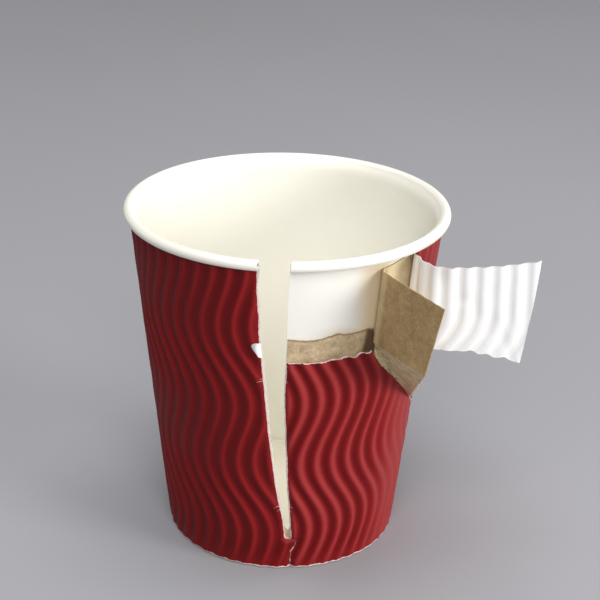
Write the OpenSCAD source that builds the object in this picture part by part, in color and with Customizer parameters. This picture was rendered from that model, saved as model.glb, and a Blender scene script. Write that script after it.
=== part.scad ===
// Ripple wall paper cup, cut open down its front, with its two outer papers torn and peeled back.
// The origin is the centre of the foot, +Z is up and the cut faces -Y.

/* [Cup] */
// Outer diameter of the rolled rim
rim_d = 89; // [84:0.5:94]
// Height of the cup over its rim
cup_h = 96; // [92:1:104]
// Outer diameter of the cup wall at the foot
foot_d = 61; // [57:0.5:63]
// Diameter of the rim's roll
roll_d = 3; // [2.6:0.1:3.4]
// Thickness of the white cup paper
wall_t = 0.35; // [0.25:0.05:0.45]
// How far the rim stands out past the ripple crests
rim_over = 1.65; // [1.4:0.05:2]
// Height over which the wall flares into the rim's roll
flare_h = 2.6; // [2:0.2:4]
// Width of the glued lap up the inside of the wall
wall_lap = 7; // [5:0.5:10]
// Direction of that lap round the cup
wall_lap_az = -40; // [-70:5:-25]

/* [Base] */
// Height of the base disc over the foot
base_recess = 7; // [5.5:0.5:9]
// Thickness of the base paper
base_t = 0.35; // [0.25:0.05:0.45]
// Height of the foot band that is folded up inside the base
foot_fold = 5.6; // [4:0.2:6]
// How far the base's skirt stops above the floor
skirt_lift = 0.8; // [0.6:0.1:1.5]
// Radius of the bend between the base disc and its skirt
base_bend = 0.7; // [0.5:0.1:1.2]
// Glue line between two papers of the foot
glue_gap = 0.05; // [0.03:0.01:0.1]

/* [Kraft layer] */
// Thickness of the kraft paper
kraft_t = 0.3; // [0.2:0.05:0.4]
// Air gap between the cup wall and the kraft layer
layer_gap = 0.08; // [0.05:0.01:0.15]
// Height of the kraft layer's lower edge
kraft_lift = 0.6; // [0.4:0.1:2]
// Height of the kraft layer's upper edge
kraft_top = 92.2; // [88:0.2:92.4]
// Height of the kraft layer's torn edge beside the cut
kraft_tear_h = 72.6; // [70:0.2:76]
// Height of the kraft layer's tear where the flap bends away
kraft_tear_end = 64.5; // [63:0.25:66]
// Height where the cut ends in the kraft layer
kraft_cut_end = 12; // [9:0.25:14]

/* [Ripple wrap] */
// Thickness of the rippled paper
ripple_t = 0.3; // [0.2:0.05:0.4]
// Depth of the ripples over both faces
ripple_depth = 1.1; // [0.8:0.1:1.5]
// Air gap between the kraft layer and the ripples
wrap_gap = 0.5; // [0.1:0.05:0.8]
// Spacing of the ripples
ripple_pitch = 4.5; // [4:0.1:6]
// Length of one wave along a ripple
wave_len = 41.2; // [30:0.5:60]
// Sideways swing of a ripple in its wave
wave_swing = 3.2; // [1:0.1:4]
// Height of the wrap's lower edge
wrap_lift = 0.4; // [0.3:0.1:1]
// Gap between the wrap's upper edge and the rim's roll
wrap_rim_gap = 0.15; // [0.1:0.05:0.5]
// Direction of the wrap's glued lap round the cup
seam_az = 128; // [110:1:150]
// Width of the wrap's glued lap
seam_lap = 6; // [4:0.5:9]

/* [Cut and tears] */
// Height where the cut ends in the white cup wall
wall_cut_end = 13; // [11:0.5:16]
// Height of the wrap's torn edge beside the cut
wrap_tear_h = 66; // [62:0.5:68]
// Direction where the wrap's tear turns down
tear_turn_az = 35.5; // [30:0.5:38]
// Direction where the wrap's tear ends
tip_az = 78; // [72:1:84]
// Height where the wrap's tear ends
tip_h = 40; // [36:0.5:44]

/* [Peeled wrap] */
// Direction of the fold where the wrap is peeled from the cup
peel_az = 53.5; // [50:0.5:56]
// Length of paper in the fold
peel_fold = 3.1; // [2.4:0.1:4]
// Turn of the paper in the fold
peel_turn = 63.5; // [50:0.5:75]
// Straight length after the fold at the top
peel_run_top = 4.1; // [3:0.1:6]
// Straight length after the fold at the torn edge
peel_run_low = 2.5; // [1.5:0.1:4]
// Length of paper in the wide bend
peel_bend = 7.9; // [6:0.1:12]
// Turn of the wide bend at the top
peel_swing_top = 70; // [50:1:80]
// Turn of the wide bend at the torn edge
peel_swing_low = 62.5; // [50:1:80]
// Drop of the peeled paper past its fold at the top
peel_drop_top = 0.85; // [0.2:0.05:1.5]
// Rise of the peeled paper past its fold at the torn edge
peel_rise_low = 1.05; // [0:0.05:1.5]
// How far the free upper corner curls up
peel_curl = 1.35; // [0:0.05:3]
// How far the free lower corner hangs down
peel_hang = 3.4; // [0:0.1:5]

/* [Peeled kraft] */
// Direction of the bend where the kraft flap leaves the cup
flap_az = 38.5; // [37:0.5:42]
// Length of paper in that bend
flap_bend = 2.8; // [2:0.1:4]
// Turn of the paper in that bend at the top
flap_turn_top = 88.5; // [75:0.5:100]
// Turn of the paper in that bend at the torn edge
flap_turn_low = 82.5; // [70:0.5:100]
// Drop of the flap's free edge
flap_drop = 2; // [0:0.1:4]
// Height of the flap's upper edge where it leaves the cup
flap_top = 90.4; // [88:0.2:92]
// Height of the flap's torn edge at its bend
flap_low_bend = 69.6; // [69:0.2:72]
// Height of the flap's torn edge at its free end
flap_low_end = 71.3; // [69.5:0.2:75]
// Gap between the pulled fold of kraft and the kraft behind it
fold_gap = 0.12; // [0.1:0.01:0.14]
// Height of the fold's crease above the wrap's torn edge
fold_lift = 1.2; // [1.1:0.1:1.6]
// How far the pulled fold reaches in behind the wrap's torn edge
fold_tuck = 1; // [0.5:0.1:2]

/* [Hidden] */
$fn = 96;
TINY = 0.01;

// Cone of the papers
layer_stack = layer_gap + kraft_t + wrap_gap + ripple_depth;
wrap_top = cup_h - roll_d - wrap_rim_gap;
crest_foot_r = foot_d / 2 + layer_stack;
crest_rim_r = rim_d / 2 - rim_over;
taper = (crest_rim_r - crest_foot_r) / (cup_h - roll_d);
half_angle = atan(taper);
apex_run = crest_foot_r / sin(half_angle);
wrap_mid_foot = crest_foot_r - ripple_depth / 2;
ripple_swing = (ripple_depth - ripple_t) / 2;
kraft_mid_foot = foot_d / 2 + layer_gap + kraft_t / 2;
wall_mid_foot = foot_d / 2 - wall_t / 2;

function cone_r(foot_r, z) = foot_r + taper * z;
function polar(r, az, z) = [r * sin(az), -r * cos(az), z];
function mix(a, b, t) = a + (b - a) * t;
function clamp(x, low, high) = min(max(x, low), high);
function level(x) = clamp(x, 0, 1);

// Edges of the cut through the papers, as [height, direction]
CUT_LEFT = [
    [0, 4.4], [8.4, 5.2], [10.5, 2.2], [15, 1.2], [19.4, 0], [29.3, -2.9], [40.8, -5.1],
    [52, -6.7], [61, -7.8], [73.6, -9.2], [79, -9.2], [87, -10], [96, -9.4]];
CUT_RIGHT = [
    [0, 5], [8.4, 5.8], [10.5, 5.4], [15, 4.3], [19.4, 3.6], [29, 2.3], [39, 1.5],
    [46, 0.9], [56, 0.3], [65, 0.7], [73, 1], [84, 1.1], [96, 1.8]];
function cut_left(z) = lookup(z, CUT_LEFT);
function cut_right(z) = lookup(z, CUT_RIGHT);

// A band of paper along a line in a section
function side(path, i) =
    let (k = clamp(i, 0, len(path) - 2), d = path[k + 1] - path[k]) [d[1], -d[0]] / norm(d);
function beside(path, i, off) =
    let (a = side(path, i - 1), b = side(path, i)) path[i] + off * (a + b) / (1 + a * b);
function band(path, t) = concat(
    [for (i = [0 : len(path) - 1]) beside(path, i, t / 2)],
    [for (i = [len(path) - 1 : -1 : 0]) beside(path, i, -t / 2)]);

// A closed sheet of paper. Each corner is a pair of points: its inner face, then its outer face.
function tri(a, b, c) = [[2 * a + 1, 2 * b + 1, 2 * c + 1], [2 * a, 2 * c, 2 * b]];
function cell(a, b, c, d) = concat(tri(a, b, c), tri(a, c, d));
function edge_strip(loop) = [
    for (i = [0 : len(loop) - 2])
        let (p = 2 * loop[i], q = 2 * loop[i + 1])
        each [[q + 1, p + 1, p], [q + 1, p, q]]];
module sheet(corners, cells, loops) {
    polyhedron(
        points = [for (corner = corners) each corner],
        faces = concat(cells, [for (loop = loops) each edge_strip(loop)]));
}

// The way of a bent strip in plan, after a length s of runs [length, turn]: [x, y, heading]
function bent(s, runs, i = 0, x = 0, y = 0, turn = 0) =
    i == len(runs) ? [x + s * cos(turn), y + s * sin(turn), turn] :
    let (
        part = min(s, runs[i][0]),
        rate = runs[i][1] / runs[i][0],
        next = turn + rate * part,
        flat = abs(rate) < TINY,
        r = flat ? 0 : 180 / (PI * rate),
        dx = flat ? part * cos(turn) : r * (sin(next) - sin(turn)),
        dy = flat ? part * sin(turn) : r * (cos(turn) - cos(next)))
    s <= runs[i][0] ? [x + dx, y + dy, next] :
    bent(s - part, runs, i + 1, x + dx, y + dy, next);

// A corner pair of paper that leaves the cone at direction az0 and runs on for s
function peeled(r, az0, z, s, runs, inside, outside) =
    let (
        way = bent(s, runs),
        start = 180 + az0,
        heading = start + way[2],
        x = r * sin(az0) + way[0] * cos(start) - way[1] * sin(start),
        y = -r * cos(az0) + way[0] * sin(start) + way[1] * cos(start),
        out = [-sin(heading), cos(heading), 0])
    [[x, y, z] + inside * out, [x, y, z] + outside * out];
function on_cone(r, az, z, inside, outside) =
    [polar(r + inside, az, z), polar(r + outside, az, z)];
function arc_run(r, az) = r * az * PI / 180;
function arc_turn(s, r) = s / r * 180 / PI;

// White cup wall: one paper, folded up at the foot and rolled out at the rim
roll_r = (roll_d - wall_t) / 2;
roll_center = [rim_d / 2 - roll_d / 2, cup_h - roll_d / 2];
roll_tuck = 0.25;
fold_step = wall_t + base_t + 2 * glue_gap;
fold_corner = 0.3;
function wall_mid(z) = cone_r(wall_mid_foot, z);
function roll_at(a) =
    roll_center + (roll_r - roll_tuck * level(-a / 150)) * [cos(a), sin(a)];
ROLL_FIRST = 165;
ROLL_LAST = -150;
flare_from = [wall_mid(cup_h - roll_d / 2 - flare_h), cup_h - roll_d / 2 - flare_h];
flare_mid = [wall_mid(cup_h - roll_d / 2 - flare_h / 3), cup_h - roll_d / 2 - flare_h / 3];
function flare_at(t) =
    (1 - t) * (1 - t) * flare_from + 2 * t * (1 - t) * flare_mid + t * t * roll_at(ROLL_FIRST);
wall_path = concat(
    [[wall_mid(foot_fold) - fold_step, foot_fold]],
    [[wall_mid(fold_corner) - fold_step, wall_t / 2 + fold_corner]],
    [[wall_mid(0) - fold_step + fold_corner, wall_t / 2]],
    [[wall_mid(0) - fold_corner, wall_t / 2]],
    [[wall_mid(fold_corner), wall_t / 2 + fold_corner]],
    [for (t = [0 : 0.25 : 0.75]) flare_at(t)],
    [for (a = [ROLL_FIRST : -15 : ROLL_LAST]) roll_at(a)]);

// The cut through the cup wall, drawn as seen from the front
function cut_edge(table, low) = [
    for (row = concat([[low, lookup(low, table)]], [for (r = table) if (r[0] > low + 1) r]))
        [cone_r(foot_d / 2, row[0]) * sin(row[1]), row[0]]];
module wall_cut() {
    left = cut_edge(CUT_LEFT, wall_cut_end);
    right = cut_edge(CUT_RIGHT, wall_cut_end);
    above = cup_h + 1;
    rotate([90, 0, 0]) linear_extrude(rim_d) polygon(concat(
        left, [[left[len(left) - 1][0], above], [right[len(right) - 1][0], above]],
        [for (i = [len(right) - 1 : -1 : 0]) right[i]]));
}
module cup_wall() color("#f2efe2") difference() {
    union() {
        rotate_extrude() polygon(band(wall_path, wall_t));
        lap_low = base_recess + base_t;
        lap_top = flare_from[1];
        glue_turn = arc_turn(wall_lap, wall_mid(cup_h / 2));
        rotate([0, 0, wall_lap_az - 90])
        rotate_extrude(angle = glue_turn)
        polygon([
            [wall_mid(lap_low) - 1.5 * wall_t, lap_low], [wall_mid(lap_low), lap_low],
            [wall_mid(lap_top), lap_top], [wall_mid(lap_top) - 1.5 * wall_t, lap_top]]);
    }
    wall_cut();
}

// Base: a paper disc with its skirt turned down into the foot's fold
bend_center = [
    wall_mid(base_recess - base_bend) - fold_step / 2 - base_bend, base_recess - base_bend];
base_path = concat(
    [[0, base_recess]],
    [for (a = [90 : -15 : 0]) bend_center + base_bend * [cos(a), sin(a)]],
    [[wall_mid(skirt_lift + wall_t) - fold_step / 2, skirt_lift + wall_t]]);
module cup_base() color("#efe9d8") rotate_extrude() polygon(band(base_path, base_t));

// Ripples of the wrap: lines that swing from side to side on the flattened cone. A wave is
// [slant, spacing, phase of the swing, phase of the lines, height above which they run straight]
CREST_PHASE = 305;
RIGHT_WAVE = [3.1, 1, 334.9, 271.9, 78.5];
LEFT_WAVE = [8.3, 1.038, 330.4, 292, 200];
FADE = 4;
function sway(v, wave) =
    let (turn = 360 * min(v, wave[4]) / wave_len + wave[2], straight = max(0, v - wave[4]))
    wave_swing * (sin(turn) + cos(turn) * straight * 2 * PI / wave_len);
function wave_phase(az, z, wave) =
    let (
        turn = az * sin(half_angle),
        run = apex_run + z / cos(half_angle),
        across = run * sin(turn),
        up = run * cos(turn) - apex_run,
        u = across * cos(wave[0]) + up * sin(wave[0]),
        v = up * cos(wave[0]) - across * sin(wave[0]))
    360 * (u - sway(v, wave)) / (ripple_pitch * wave[1]) + wave[3];
function half_wave(az, z, wave) = (wave_phase(az, z, wave) - CREST_PHASE) / 180;
function crest_az(target, z, wave, az, n = 7) =
    n == 0 ? az :
    let (step = 180 * ripple_pitch * wave[1] / (2 * PI * cone_r(crest_foot_r, z)))
    crest_az(target, z, wave, az + (target - half_wave(az, z, wave)) * step, n - 1);

// Columns of the wrap stand on crests and valleys, from the cut's right edge round to its left
COLUMN_GAP = 0.25;
HEIGHTS = [for (z = [0 : 8 : 88]) z];
lap_turn = arc_turn(seam_lap, cone_r(wrap_mid_foot, cup_h / 2));
lap_end = seam_az + lap_turn - 360;
right_first = floor(min([for (z = HEIGHTS) half_wave(cut_right(z), z, RIGHT_WAVE)])) + 1;
right_last = ceil(max([for (z = HEIGHTS) half_wave(seam_az, z, RIGHT_WAVE)])) - 1;
left_first = floor(min([for (z = HEIGHTS) half_wave(lap_end, z, LEFT_WAVE)])) + 1;
left_last = ceil(max([for (z = HEIGHTS) half_wave(cut_left(z), z, LEFT_WAVE)])) - 1;
right_end = right_last - right_first + 2;
left_start = right_end + 4;
left_end = left_start + left_last - left_first + 2;
function right_az(c, z) = clamp(
    crest_az(right_first + c - 1, z, RIGHT_WAVE, seam_az / 2),
    cut_right(z) + COLUMN_GAP * c,
    seam_az - COLUMN_GAP * (right_end - c));
function left_az(c, z) = clamp(
    crest_az(left_first + c - left_start - 1, z, LEFT_WAVE, lap_end / 2),
    lap_end + COLUMN_GAP * (c - left_start),
    cut_left(z) - COLUMN_GAP * (left_end - c));
function wrap_az(c, z) =
    c == 0 ? cut_right(z) :
    c < right_end ? right_az(c, z) :
    c == right_end ? seam_az - 360 :
    c == right_end + 1 ? seam_az - 360 + COLUMN_GAP :
    c == right_end + 2 ? seam_az - 360 + lap_turn / 2 :
    c == right_end + 3 ? lap_end - COLUMN_GAP :
    c == left_start ? lap_end :
    c < left_end ? left_az(c, z) :
    cut_left(z);
function doubled(c) = c > right_end && c < left_start ? 1 : 0;
function ripple(c, az, z) =
    c >= right_end && c <= left_start ? 0 :
    let (
        right = c < right_end,
        from_lap = arc_run(cone_r(wrap_mid_foot, z), right ? seam_az - az : az - lap_end))
    ripple_swing * level(from_lap / FADE)
        * cos(180 * half_wave(az, z, right ? RIGHT_WAVE : LEFT_WAVE));

// Tear of the wrap: its height over direction, then the middle row of corners
TEAR_RISE = 1.2;
TEAR_SAG = 1.9;
RAGGED = 0.3;
MID_BACK = 50;
function ragged(az) = RAGGED * (sin(61 * az) + sin(23 * az)) / 2;
function tear_way(az) = level((az - tear_turn_az) / (tip_az - tear_turn_az));
function wrap_tear(az) =
    az < tear_turn_az ? wrap_tear_h + TEAR_RISE * az / tear_turn_az + ragged(az) :
    mix(wrap_tear_h + TEAR_RISE, tip_h, tear_way(az))
        - TEAR_SAG * sin(180 * sqrt(tear_way(az)))
        + ragged(az) * (1 - tear_way(az));
function mid_row(c, az) =
    c <= right_end && az < tip_az ? wrap_tear(az) :
    mix(tip_h, MID_BACK, c > right_end ? 1 : level((az - tip_az) / (seam_az - tip_az)));
function mid_z(c, z = 60, n = 6) = n == 0 ? z : mid_z(c, mid_row(c, wrap_az(c, z)), n - 1);

// Peeled part of the wrap
PEEL_EASE = 4;
FREE_RUN = 38;
FREE_FROM = 0.55;
function peel_hinge(z) =
    z > wrap_tear_h ? peel_az :
    mix(peel_az, tip_az, level((wrap_tear_h - z) / (wrap_tear_h - tip_h)));
function wrap_pair(c, az, z, peel) =
    let (
        r = cone_r(wrap_mid_foot, z),
        d = ripple(c, az, z),
        inside = d - ripple_t / 2,
        outside = d + ripple_t / 2 + ripple_t * doubled(c),
        hinge = peel_hinge(z))
    !peel || az >= hinge ? on_cone(r, az, z, inside, outside) :
    let (
        t = level((wrap_top - z) / (wrap_top - wrap_tear_h)),
        s = arc_run(r, hinge - az),
        runs = [
            [peel_fold, peel_turn],
            [mix(peel_run_top, peel_run_low, t), 0],
            [peel_bend, mix(peel_swing_top, peel_swing_low, t)]],
        free = max(0, (s / FREE_RUN - FREE_FROM) / (1 - FREE_FROM)),
        drop = mix(peel_drop_top, -peel_rise_low, t) * (1 - exp(-s / PEEL_EASE))
            + mix(-peel_curl, peel_hang, t) * free * free)
    peeled(r, hinge, z - drop, s, runs, inside, outside);

// Rows of the wrap: three fixed ones by the split foot, then even ones to the tear and the rim
SPLIT_ROWS = [wrap_lift, 4.8, 9.2, 9.9];
SPLIT_LAST = 3;
LOW_ROWS = 12;
HIGH_ROWS = 8;
wrap_mids = [for (c = [0 : left_end]) mid_z(c)];
tip_column = min([for (c = [0 : right_end])
    if (wrap_az(c, wrap_mids[c]) >= tip_az - TINY) c]);
function low_z(c, i) =
    i <= SPLIT_LAST ? SPLIT_ROWS[i] :
    mix(SPLIT_ROWS[SPLIT_LAST], wrap_mids[c], (i - SPLIT_LAST) / (LOW_ROWS - SPLIT_LAST));
function high_z(c, k) = mix(wrap_mids[c], wrap_top, k / HIGH_ROWS);
function low_at(c, i) = c * (LOW_ROWS + 1) + i;
high_base = (left_end + 1) * (LOW_ROWS + 1);
function high_at(c, k) =
    k == 0 ? (c < tip_column ? high_base + c : low_at(c, LOW_ROWS)) :
    high_base + tip_column + c * HIGH_ROWS + k - 1;
wrap_corners = concat(
    [for (c = [0 : left_end], i = [0 : LOW_ROWS])
        let (z = low_z(c, i)) wrap_pair(c, wrap_az(c, z), z, false)],
    [for (c = [0 : tip_column - 1])
        let (z = wrap_mids[c]) wrap_pair(c, wrap_az(c, z), z, true)],
    [for (c = [0 : left_end], k = [1 : HIGH_ROWS])
        let (z = high_z(c, k)) wrap_pair(c, wrap_az(c, z), z, c < right_end)]);
wrap_cells = [
    for (c = [0 : left_end - 1]) each concat(
        [for (i = [0 : LOW_ROWS - 1]) each
            cell(low_at(c, i), low_at(c, i + 1), low_at(c + 1, i + 1), low_at(c + 1, i))],
        [for (k = [0 : HIGH_ROWS - 1]) each
            cell(high_at(c, k), high_at(c, k + 1), high_at(c + 1, k + 1), high_at(c + 1, k))])];
wrap_edge = concat(
    [for (i = [0 : LOW_ROWS]) low_at(0, i)],
    [for (c = [1 : tip_column]) low_at(c, LOW_ROWS)],
    [for (c = [tip_column - 1 : -1 : 0]) high_at(c, 0)],
    [for (k = [1 : HIGH_ROWS]) high_at(0, k)],
    [for (c = [1 : left_end]) high_at(c, HIGH_ROWS)],
    [for (k = [HIGH_ROWS - 1 : -1 : 1]) high_at(left_end, k)],
    [for (i = [LOW_ROWS : -1 : 0]) low_at(left_end, i)],
    [for (c = [left_end - 1 : -1 : 0]) low_at(c, 0)]);
module ripple_wrap() color("#a83a3c") sheet(wrap_corners, wrap_cells, [wrap_edge]);

// Kraft layer: columns and rows
KRAFT_RAGGED = 0.35;
TEAR_TURN = 3;
SLIT_AZ = 3.6;
BACK_AZ = 342;
FLAP_COLUMNS = 12;
BACK_COLUMNS = 62;
SLIT_COLUMNS = 4;
KRAFT_LOW = 8;
KRAFT_HIGH = 4;
KRAFT_SLIT = 2;
back_column = FLAP_COLUMNS + BACK_COLUMNS;
kraft_end = back_column + SLIT_COLUMNS;
function slit_edge(table_az, z) = z <= kraft_cut_end + TINY ? SLIT_AZ : table_az;
function kraft_az(c, z) =
    c <= FLAP_COLUMNS ? mix(slit_edge(cut_right(z), z), flap_az, bend_share(c / FLAP_COLUMNS)) :
    c <= back_column ? mix(flap_az, BACK_AZ, (c - FLAP_COLUMNS) / BACK_COLUMNS) :
    mix(BACK_AZ, 360 + slit_edge(cut_left(z), z), (c - back_column) / SLIT_COLUMNS);
function bend_share(t) = 1 - (1 - t) * (0.3 + 0.7 * (1 - t));
function kraft_tear(az) =
    kraft_tear_h + KRAFT_RAGGED * (sin(41 * az) + sin(17 * az)) / 2
        - (kraft_tear_h - kraft_tear_end) * pow(level((az - flap_az) / TEAR_TURN + 1), 2);
function kraft_mid(c) =
    c < FLAP_COLUMNS ? kraft_tear(kraft_az(c, kraft_tear_h)) : kraft_tear_end;
function kraft_low_z(c, i) =
    i <= KRAFT_SLIT ? mix(kraft_lift, kraft_cut_end, i / KRAFT_SLIT) :
    mix(kraft_cut_end, kraft_mid(c), (i - KRAFT_SLIT) / (KRAFT_LOW - KRAFT_SLIT));
function flap_foot(az) = mix(flap_low_bend, flap_low_end, level(1 - az / flap_az));
function kraft_roof(az) = mix(flap_top, kraft_top, level((az - flap_az) / 15));
function kraft_high_z(c, k) =
    let (az = kraft_az(c, kraft_top))
    mix(c < FLAP_COLUMNS ? flap_foot(az) : kraft_tear_end, kraft_roof(az), k / KRAFT_HIGH);
function kraft_pair(az, z) =
    on_cone(cone_r(kraft_mid_foot, z), az, z, -kraft_t / 2, kraft_t / 2);
FREE_WIDTH = 25;
function flap_pair(az, z, inside = -kraft_t / 2, outside = kraft_t / 2) =
    let (
        r = cone_r(kraft_mid_foot, z),
        t = level((kraft_top - z) / (kraft_top - flap_low_bend)),
        s = arc_run(r, flap_az - az),
        runs = [[flap_bend, mix(flap_turn_top, flap_turn_low, t)]])
    peeled(r, flap_az, z - flap_drop * s / FREE_WIDTH, s, runs, inside, outside);

// Pulled fold of the kraft: from the flap's torn edge to a crease on the cup, then in behind the wrap
FOLD_ROWS = 6;
CREASE_ROW = 5;
FOLD_END = 74;
FOLD_BOW = 0.5;
function flap_edge(c) =
    let (az = kraft_az(c, kraft_top), pair = flap_pair(az, flap_foot(az))) (pair[0] + pair[1]) / 2;
function fold_foot(c, above_tear) =
    let (
        t = c / FLAP_COLUMNS,
        az = mix(FOLD_END, flap_az, t),
        z = mix(wrap_tear(az) + above_tear, kraft_tear_end, pow(t, 4)))
    polar(cone_r(kraft_mid_foot, z) + (kraft_t + fold_gap) * (1 - pow(t, 4)), az, z);
function fold_mid(c, g) =
    let (
        top = flap_edge(c),
        crease = fold_foot(c, fold_lift),
        bow = (top + crease) / 2 - [0, 0, FOLD_BOW * (1 - c / FLAP_COLUMNS)],
        k = level(g * FOLD_ROWS / CREASE_ROW))
    g * FOLD_ROWS > CREASE_ROW ?
        mix(crease, fold_foot(c, -fold_tuck), (g * FOLD_ROWS - CREASE_ROW) / (FOLD_ROWS - CREASE_ROW)) :
        (1 - k) * (1 - k) * top + 2 * k * (1 - k) * bow + k * k * crease;
function fold_normal(c, g) =
    let (
        e = 0.05,
        across = fold_mid(min(c + e, FLAP_COLUMNS - e), g) - fold_mid(c - e, g),
        down = fold_mid(c, min(g + e, 1)) - fold_mid(c, max(g - e, 0)),
        n = cross(across, down))
    -n / norm(n);
function fold_pair(c, g) =
    let (mid = fold_mid(c, g), n = fold_normal(c, g) * kraft_t / 2) [mid - n, mid + n];

function klow_at(c, i) =
    c < kraft_end ? c * (KRAFT_LOW + 1) + i :
    i <= KRAFT_SLIT ? i :
    kraft_end * (KRAFT_LOW + 1) + i - KRAFT_SLIT - 1;
khigh_base = klow_at(kraft_end, KRAFT_LOW) + 1;
function khigh_at(c, k) =
    k == 0 ? (c < FLAP_COLUMNS ? khigh_base + c : klow_at(c, KRAFT_LOW)) :
    khigh_base + FLAP_COLUMNS + c * KRAFT_HIGH + k - 1;
fold_at_base = khigh_at(kraft_end, KRAFT_HIGH) + 1;
function fold_at(c, g) =
    c == FLAP_COLUMNS ? klow_at(c, KRAFT_LOW) :
    g == 0 ? khigh_at(c, 0) :
    fold_at_base + c * FOLD_ROWS + g - 1;
function khigh_pair(c, k) =
    let (z = kraft_high_z(c, k), az = kraft_az(c, kraft_top))
    c < FLAP_COLUMNS ? flap_pair(az, z) : kraft_pair(kraft_az(c, z), z);
kraft_corners = concat(
    [for (c = [0 : kraft_end - 1], i = [0 : KRAFT_LOW])
        let (z = kraft_low_z(c, i)) kraft_pair(kraft_az(c, z), z)],
    [for (i = [KRAFT_SLIT + 1 : KRAFT_LOW])
        let (z = kraft_low_z(kraft_end, i)) kraft_pair(kraft_az(kraft_end, z), z)],
    [for (c = [0 : FLAP_COLUMNS - 1]) khigh_pair(c, 0)],
    [for (c = [0 : kraft_end], k = [1 : KRAFT_HIGH]) khigh_pair(c, k)],
    [for (c = [0 : FLAP_COLUMNS - 1], g = [1 : FOLD_ROWS]) fold_pair(c, g / FOLD_ROWS)]);
kraft_cells = concat(
    [for (c = [0 : kraft_end - 1], i = [0 : KRAFT_LOW - 1]) each
        cell(klow_at(c, i), klow_at(c, i + 1), klow_at(c + 1, i + 1), klow_at(c + 1, i))],
    [for (c = [0 : kraft_end - 1], k = [0 : KRAFT_HIGH - 1]) each
        cell(khigh_at(c, k), khigh_at(c, k + 1), khigh_at(c + 1, k + 1), khigh_at(c + 1, k))],
    [for (c = [0 : FLAP_COLUMNS - 2], g = [0 : FOLD_ROWS - 1]) each
        cell(fold_at(c, g + 1), fold_at(c, g), fold_at(c + 1, g), fold_at(c + 1, g + 1))],
    [for (c = FLAP_COLUMNS - 1, g = [0 : FOLD_ROWS - 1]) each
        tri(fold_at(c, g + 1), fold_at(c, g), klow_at(c + 1, KRAFT_LOW))]);
kraft_foot_edge = [for (c = [kraft_end : -1 : 0]) klow_at(c, 0)];
kraft_edge = concat(
    [for (i = [KRAFT_SLIT : KRAFT_LOW]) klow_at(0, i)],
    [for (c = [1 : FLAP_COLUMNS]) klow_at(c, KRAFT_LOW)],
    [for (c = [FLAP_COLUMNS - 1 : -1 : 0]) fold_at(c, FOLD_ROWS)],
    [for (g = [FOLD_ROWS - 1 : -1 : 0]) fold_at(0, g)],
    [for (k = [1 : KRAFT_HIGH]) khigh_at(0, k)],
    [for (c = [1 : kraft_end]) khigh_at(c, KRAFT_HIGH)],
    [for (k = [KRAFT_HIGH - 1 : -1 : 1]) khigh_at(kraft_end, k)],
    [for (i = [KRAFT_LOW : -1 : KRAFT_SLIT]) klow_at(kraft_end, i)]);
module kraft_layer() color("#b59a72")
    sheet(kraft_corners, kraft_cells, [kraft_foot_edge, kraft_edge]);

cup_wall();
cup_base();
kraft_layer();
ripple_wrap();
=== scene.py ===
import math

import bmesh
import bpy
import numpy as np
from mathutils import Matrix, Vector


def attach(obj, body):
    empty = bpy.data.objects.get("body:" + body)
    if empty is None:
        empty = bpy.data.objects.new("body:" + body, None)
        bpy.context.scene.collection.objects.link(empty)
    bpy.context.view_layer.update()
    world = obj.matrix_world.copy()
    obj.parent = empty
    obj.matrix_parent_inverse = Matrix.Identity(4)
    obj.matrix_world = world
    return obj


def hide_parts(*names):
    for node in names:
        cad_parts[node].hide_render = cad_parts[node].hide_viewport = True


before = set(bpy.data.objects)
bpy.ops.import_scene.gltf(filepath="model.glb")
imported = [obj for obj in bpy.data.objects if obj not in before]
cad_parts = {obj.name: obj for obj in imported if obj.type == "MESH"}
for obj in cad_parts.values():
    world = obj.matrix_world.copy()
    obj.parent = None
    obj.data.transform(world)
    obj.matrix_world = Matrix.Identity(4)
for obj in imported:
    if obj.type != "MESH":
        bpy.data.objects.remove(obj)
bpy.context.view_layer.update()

# Sizes of the cup in millimetres and degrees. Directions turn from -Y towards +X.
MM = 0.001
RIM_D, CUP_H, FOOT_D, ROLL_D = 89.0, 96.0, 61.0, 3.0
WALL_T, BASE_T, KRAFT_T, RIPPLE_T = 0.35, 0.35, 0.3, 0.3
GLUE_GAP, LAYER_GAP, WRAP_GAP = 0.05, 0.08, 0.5
RIPPLE_DEPTH, RIPPLE_PITCH, WAVE_LEN, WAVE_SWING = 1.1, 4.5, 41.2, 3.2
RIM_OVER, FLARE_H, FOOT_FOLD, BASE_RECESS = 1.65, 2.6, 5.6, 7.0
KRAFT_LIFT, KRAFT_TOP, KRAFT_CUT_END, KRAFT_TEAR_END = 0.6, 92.2, 12.0, 64.5
SLIT_AZ = 3.6
WRAP_LIFT, WRAP_TOP = 0.4, CUP_H - ROLL_D - 0.15
TEAR_H, TEAR_TURN, TIP_AZ, TIP_H = 66.0, 35.5, 78.0, 40.0
SEAM_AZ, SEAM_LAP = 128.0, 6.0
FLAP_AZ = 38.5

STACK = LAYER_GAP + KRAFT_T + WRAP_GAP + RIPPLE_DEPTH
CREST_FOOT = FOOT_D / 2 + STACK
TAPER = (RIM_D / 2 - RIM_OVER - CREST_FOOT) / (CUP_H - ROLL_D)
HALF = math.atan(TAPER)
APEX = CREST_FOOT / math.sin(HALF)
WRAP_MID = CREST_FOOT - RIPPLE_DEPTH / 2
KRAFT_MID = FOOT_D / 2 + LAYER_GAP + KRAFT_T / 2
WALL_MID = FOOT_D / 2 - WALL_T / 2
SWING = (RIPPLE_DEPTH - RIPPLE_T) / 2
DEG = math.pi / 180


def level(x):
    return np.clip(x, 0.0, 1.0)


def mix(a, b, t):
    return a + (b - a) * t


def ease(x):
    x = level(x)
    return x * x * (3 - 2 * x)


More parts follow.
